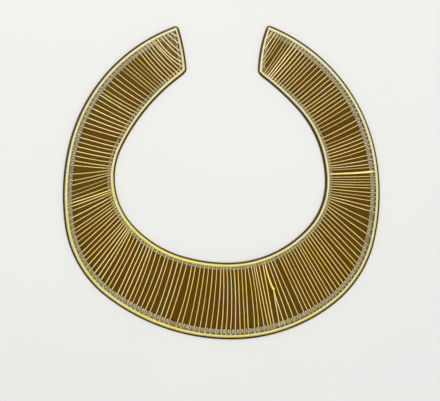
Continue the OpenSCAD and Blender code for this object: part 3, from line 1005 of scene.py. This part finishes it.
def makeCells(rods):
    look, spots = cellLook, []
    chance = np.random.default_rng(look["seed"])
    for end, (middle, length) in enumerate(look["ends"]):
        for rodA, rodB in zip(rods, rods[1:]):
            further = readRows(look["reaches"], bearingOf(rodA)) * (1 - end)
            a, b = (rimSpot(rod, end, middle + further / 2) for rod in (rodA, rodB))
            room = np.linalg.norm(b - a) - look["clear"]
            fits = look["narrowest"] < room < look["widestGap"]
            if not fits or fadeAt((a + b) / 2)[0] > look["mostFaded"]:
                continue
            parts = 2 if room > look["widest"] else 1
            for i in range(parts):
                place = a + (b - a) * (i + 0.5) / parts
                place[2] = plateLook["top"]
                size = (0.5 * (length + further) * chance.uniform(*look["lengthSpread"]),
                        0.5 * room / parts * chance.uniform(*look["widthSpread"]),
                        look["height"] * chance.uniform(*look["heightSpread"]))
                turn = (chance.normal(0, look["tilt"]), chance.normal(0, look["tilt"]),
                        directionOf(rodA[1] - rodA[0]) + chance.normal(0, look["skew"]))
                spots.append((place, size, turn, fadeAt(place)[0]))
    return settle(setOutPiece("borderCells", spots, look, "fade"), "border_silver")


solderLook = {
    "profile": ((0, 1.0), (0.5, 0.87), (0.87, 0.5), (1.0, 0.0), (0.87, -0.5), (0.5, -0.87), (0, -1.0)),
    "sides": 12, "square": 1.0,
    "ribSize": (0.62, 0.52, 0.34), "cornerSize": (1.12, 1.0, 0.95),       # mm
    "inward": 1.05, "ribHeight": 1.5,                                     # mm
    "spread": (0.8, 1.15), "tones": (0, 0.5), "cornerTone": 0.5,
    "seed": 12, "Unevenness": 0.06 * mm, "Finish": rimGold, **smallLumps,
}


def makeSolder(rods):
    look, spots = solderLook, []
    chance = np.random.default_rng(look["seed"])
    for rod in rods:
        for end in (0, 1):
            place = rimSpot(rod, end, look["inward"])
            place[2] = look["ribHeight"]
            size = np.array(look["ribSize"]) * chance.uniform(*look["spread"])
            turn = (0, 0, directionOf(rod[1] - rod[0]))
            spots.append((place, size, turn, chance.uniform(*look["tones"])))
    for corner, toward in ((leftTip, leftFoot), (leftFoot, leftTip),
                           (rightTip, rightFoot), (rightFoot, rightTip)):
        turn = (0, 0, directionOf(toward - corner))
        spots.append(((*corner, rimLook["height"]), look["cornerSize"], turn, look["cornerTone"]))
    return settle(setOutPiece("solderJoints", spots, look, "tone"), "rim_gold")


# A plain floor under a plain sky
floorLook = {
    "reach": 3,              # m
    "pale": (0.80, 0.79, 0.76), "dimmer": 0.97, "mottleSize": 90.0,
    "metallic": 0.0, "specular": 0.2, "roughness": 0.85,
}


def makeStage():
    reach, pale = floorLook["reach"], floorLook["pale"]
    floor = newPiece("floor", [(x * reach, y * reach, 0) for x, y in ((-1, -1), (1, -1), (1, 1), (-1, 1))],
                     [(0, 1, 2, 3)])
    material, tree, shader, place = newFinish("paleFloor", floorLook)
    mottle = cloud(tree, place, floorLook["mottleSize"])
    colour = tint(tree, mottle, pale, [floorLook["dimmer"] * c for c in pale])
    feed(tree, shader, {"Base Color": colour, "Roughness": floorLook["roughness"]})
    floor.data.materials.append(material)
    world = bpy.data.worlds.new("studio")
    world.use_nodes = True
    feed(world.node_tree, world.node_tree.nodes["Background"],
         {"Color": (*stageLook["sky"], 1), "Strength": stageLook["skyStrength"]})
    bpy.context.scene.world = world
    softLight("keyLight")
    softLight("fillLight")


lookDown()
makePlate()
print("plate ready")
makeBorder()
print("border ready")
makeRim("outerRim", outerArcs, "outer_rim", rimLook["outerWidths"])
makeRim("innerRim", innerArcs, "inner_rim", rimLook["innerWidths"])
makeRim("leftEndBar", leftArcs, "left_end_bar", rimLook["barWidths"])
makeRim("rightEndBar", rightArcs, "right_end_bar", rimLook["barWidths"][::-1])
print("rim wires ready")
leftRods, rightRods = rodLines("left_ribs"), rodLines("right_ribs")
makeRibs("leftRibs", "left_ribs", leftRods)
makeRibs("rightRibs", "right_ribs", rightRods)
crossRods = rodLines("cross_bar")
makeCrossBar(crossRods[0])
forkTip, forkShoulder, forkTails = forkEnds()
makeForkedBar(forkTip, forkShoulder, forkTails)
print("ribs ready")
barRods = crossRods + [[tail, forkTip] for tail in forkTails]
makeCells(sorted(leftRods + rightRods + barRods, key=bearingOf))
makeSolder(leftRods + rightRods)
print("cells and solder ready")
makeStage()
print("stage ready")
